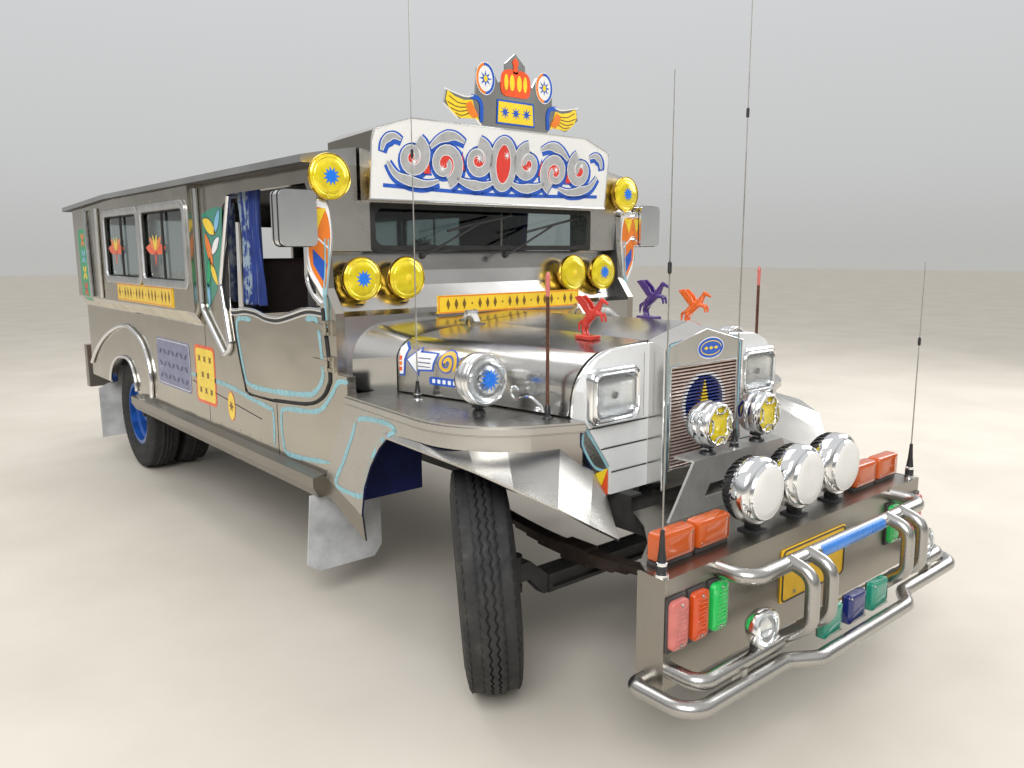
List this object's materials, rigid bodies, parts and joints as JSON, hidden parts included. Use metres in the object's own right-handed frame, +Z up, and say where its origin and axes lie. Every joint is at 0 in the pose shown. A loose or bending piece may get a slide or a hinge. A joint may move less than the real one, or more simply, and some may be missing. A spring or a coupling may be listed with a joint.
{
  "type": "jeepney",
  "caption": "Long-bodied open-sided passenger vehicle with a stainless body, steering, hinged hood and cab doors, and turning wheels.",
  "frame": {"origin": "on the ground under the middle of the whole vehicle's box", "axes": "+Y towards the rear along the length, +X towards the vehicle's left, +Z up"},
  "size_m": [2.23, 6.2939, 2.7],
  "materials": {
    "chassis_black": "satin black chassis paint",
    "engine_metal": "dull cast metal",
    "floor_plate": "worn grey floor paint",
    "stainless": "polished stainless sheet",
    "tyre": "dusty rubber",
    "rim_blue": "blue gloss paint",
    "roof_paint": "cream paint",
    "aluminium_trim": "satin aluminium",
    "glass": "clear glass",
    "board_paint": "gloss paint",
    "copper_slat": "copper toned slats",
    "chrome": "bright chrome",
    "amber_lens": "lamp lens",
    "yellow_lens": "yellow lamp lens",
    "black_plastic": "black plastic",
    "rubber": "dusty rubber sheet",
    "vinyl": "vinyl covering",
    "plate_yellow": "blank yellow plate",
    "curtain_cloth": "blue curtain cloth"
  },
  "bodies": {
    "chassis": {"frame_rails": "chassis_black", "engine_block": "engine_metal", "front_axle": "chassis_black", "rear_axle": "chassis_black", "leaf_springs": "chassis_black", "exhaust_pipe": "engine_metal", "fuel_tank": "chassis_black", "floor_pan": "floor_plate", "bench_frames": "floor_plate", "body_side_right": "stainless", "body_side_left": "stainless", "fender_right": "stainless", "fender_left": "stainless", "roof_panel": "roof_paint", "rear_wall": "stainless", "cowl_panel": "stainless", "windshield_frame": "aluminium_trim", "window_glass": "glass", "headboard": "board_paint", "crest": "board_paint", "front_fascia": "stainless", "radiator_shell": "stainless", "grille_slats": "copper_slat", "radiator_core": "chassis_black", "headlamps": "chrome", "front_bumper": "stainless", "bull_bar": "chrome", "driving_lamps": "chrome", "fog_lamps": "chrome", "marker_lamps": "amber_lens", "cab_lamps": "yellow_lens", "mirrors": "black_plastic", "aerials": "black_plastic", "rear_bumper": "stainless", "mud_flaps": "rubber", "sill_rails": "stainless", "cab_seat_base": "floor_plate", "cab_seat": "vinyl", "benches": "vinyl", "dashboard": "black_plastic", "side_trim": "chrome", "route_boards": "board_paint", "number_plate": "plate_yellow", "curtains": "curtain_cloth"},
    "hood": {"hood": "stainless", "hood_figures": "board_paint"},
    "door_right": {"door_right": "stainless"},
    "door_left": {"door_left": "stainless"},
    "knuckle_right": {"knuckle_right": "engine_metal"},
    "knuckle_left": {"knuckle_left": "engine_metal"},
    "tie_rod": {"tie_rod": "engine_metal"},
    "wheel_front_right": {"tyre_front_right": "tyre", "rim_front_right": "rim_blue"},
    "wheel_front_left": {"tyre_front_left": "tyre", "rim_front_left": "rim_blue"},
    "wheel_rear_right": {"tyres_rear_right": "tyre", "rims_rear_right": "rim_blue"},
    "wheel_rear_left": {"tyres_rear_left": "tyre", "rims_rear_left": "rim_blue"}
  },
  "joints": [
    {"name": "hood_hinge", "type": "hinge", "parent": "chassis", "child": "hood", "pos_m": [0, -1.463, 1.285], "axis": [-1, 0, 0], "range_deg": [0, 62]},
    {"name": "door_right_hinge", "type": "hinge", "parent": "chassis", "child": "door_right", "pos_m": [-0.915, -1.233, 1.165], "axis": [0, 0, 1], "range_deg": [0, 65]},
    {"name": "door_left_hinge", "type": "hinge", "parent": "chassis", "child": "door_left", "pos_m": [0.915, -1.233, 1.165], "axis": [0, 0, -1], "range_deg": [0, 65]},
    {"name": "steer_right", "type": "hinge", "parent": "chassis", "child": "knuckle_right", "pos_m": [-0.69, -2.158, 0.40809], "axis": [0, 0, 1], "range_deg": [0, 70]},
    {"name": "steer_left", "type": "hinge", "parent": "chassis", "child": "knuckle_left", "pos_m": [0.69, -2.158, 0.40809], "axis": [0, 0, 1], "range_deg": [0, 70]},
    {"name": "tie_rod_pivot", "type": "hinge", "parent": "knuckle_right", "child": "tie_rod", "pos_m": [-0.60396, -2.03513, 0.33], "axis": [0, 0, 1], "range_deg": [-70, 0]},
    {"name": "wheel_front_right_spin", "type": "hinge", "parent": "knuckle_right", "child": "wheel_front_right", "pos_m": [-0.77172, -2.10078, 0.40112], "axis": [-0.8172, 0.5722, -0.0698], "continuous": true},
    {"name": "wheel_front_left_spin", "type": "hinge", "parent": "knuckle_left", "child": "wheel_front_left", "pos_m": [0.77172, -2.21522, 0.40112], "axis": [0.8172, -0.5722, -0.0698], "continuous": true},
    {"name": "wheel_rear_right_spin", "type": "hinge", "parent": "chassis", "child": "wheel_rear_right", "pos_m": [-0.628, 1.877, 0.4], "axis": [-1, 0, 0], "continuous": true},
    {"name": "wheel_rear_left_spin", "type": "hinge", "parent": "chassis", "child": "wheel_rear_left", "pos_m": [0.628, 1.877, 0.4], "axis": [1, 0, 0], "continuous": true}
  ],
  "couplings": [
    {"joint": "steer_left", "follows": "steer_right", "ratio": 1},
    {"joint": "tie_rod_pivot", "follows": "steer_right", "ratio": -1}
  ]
}
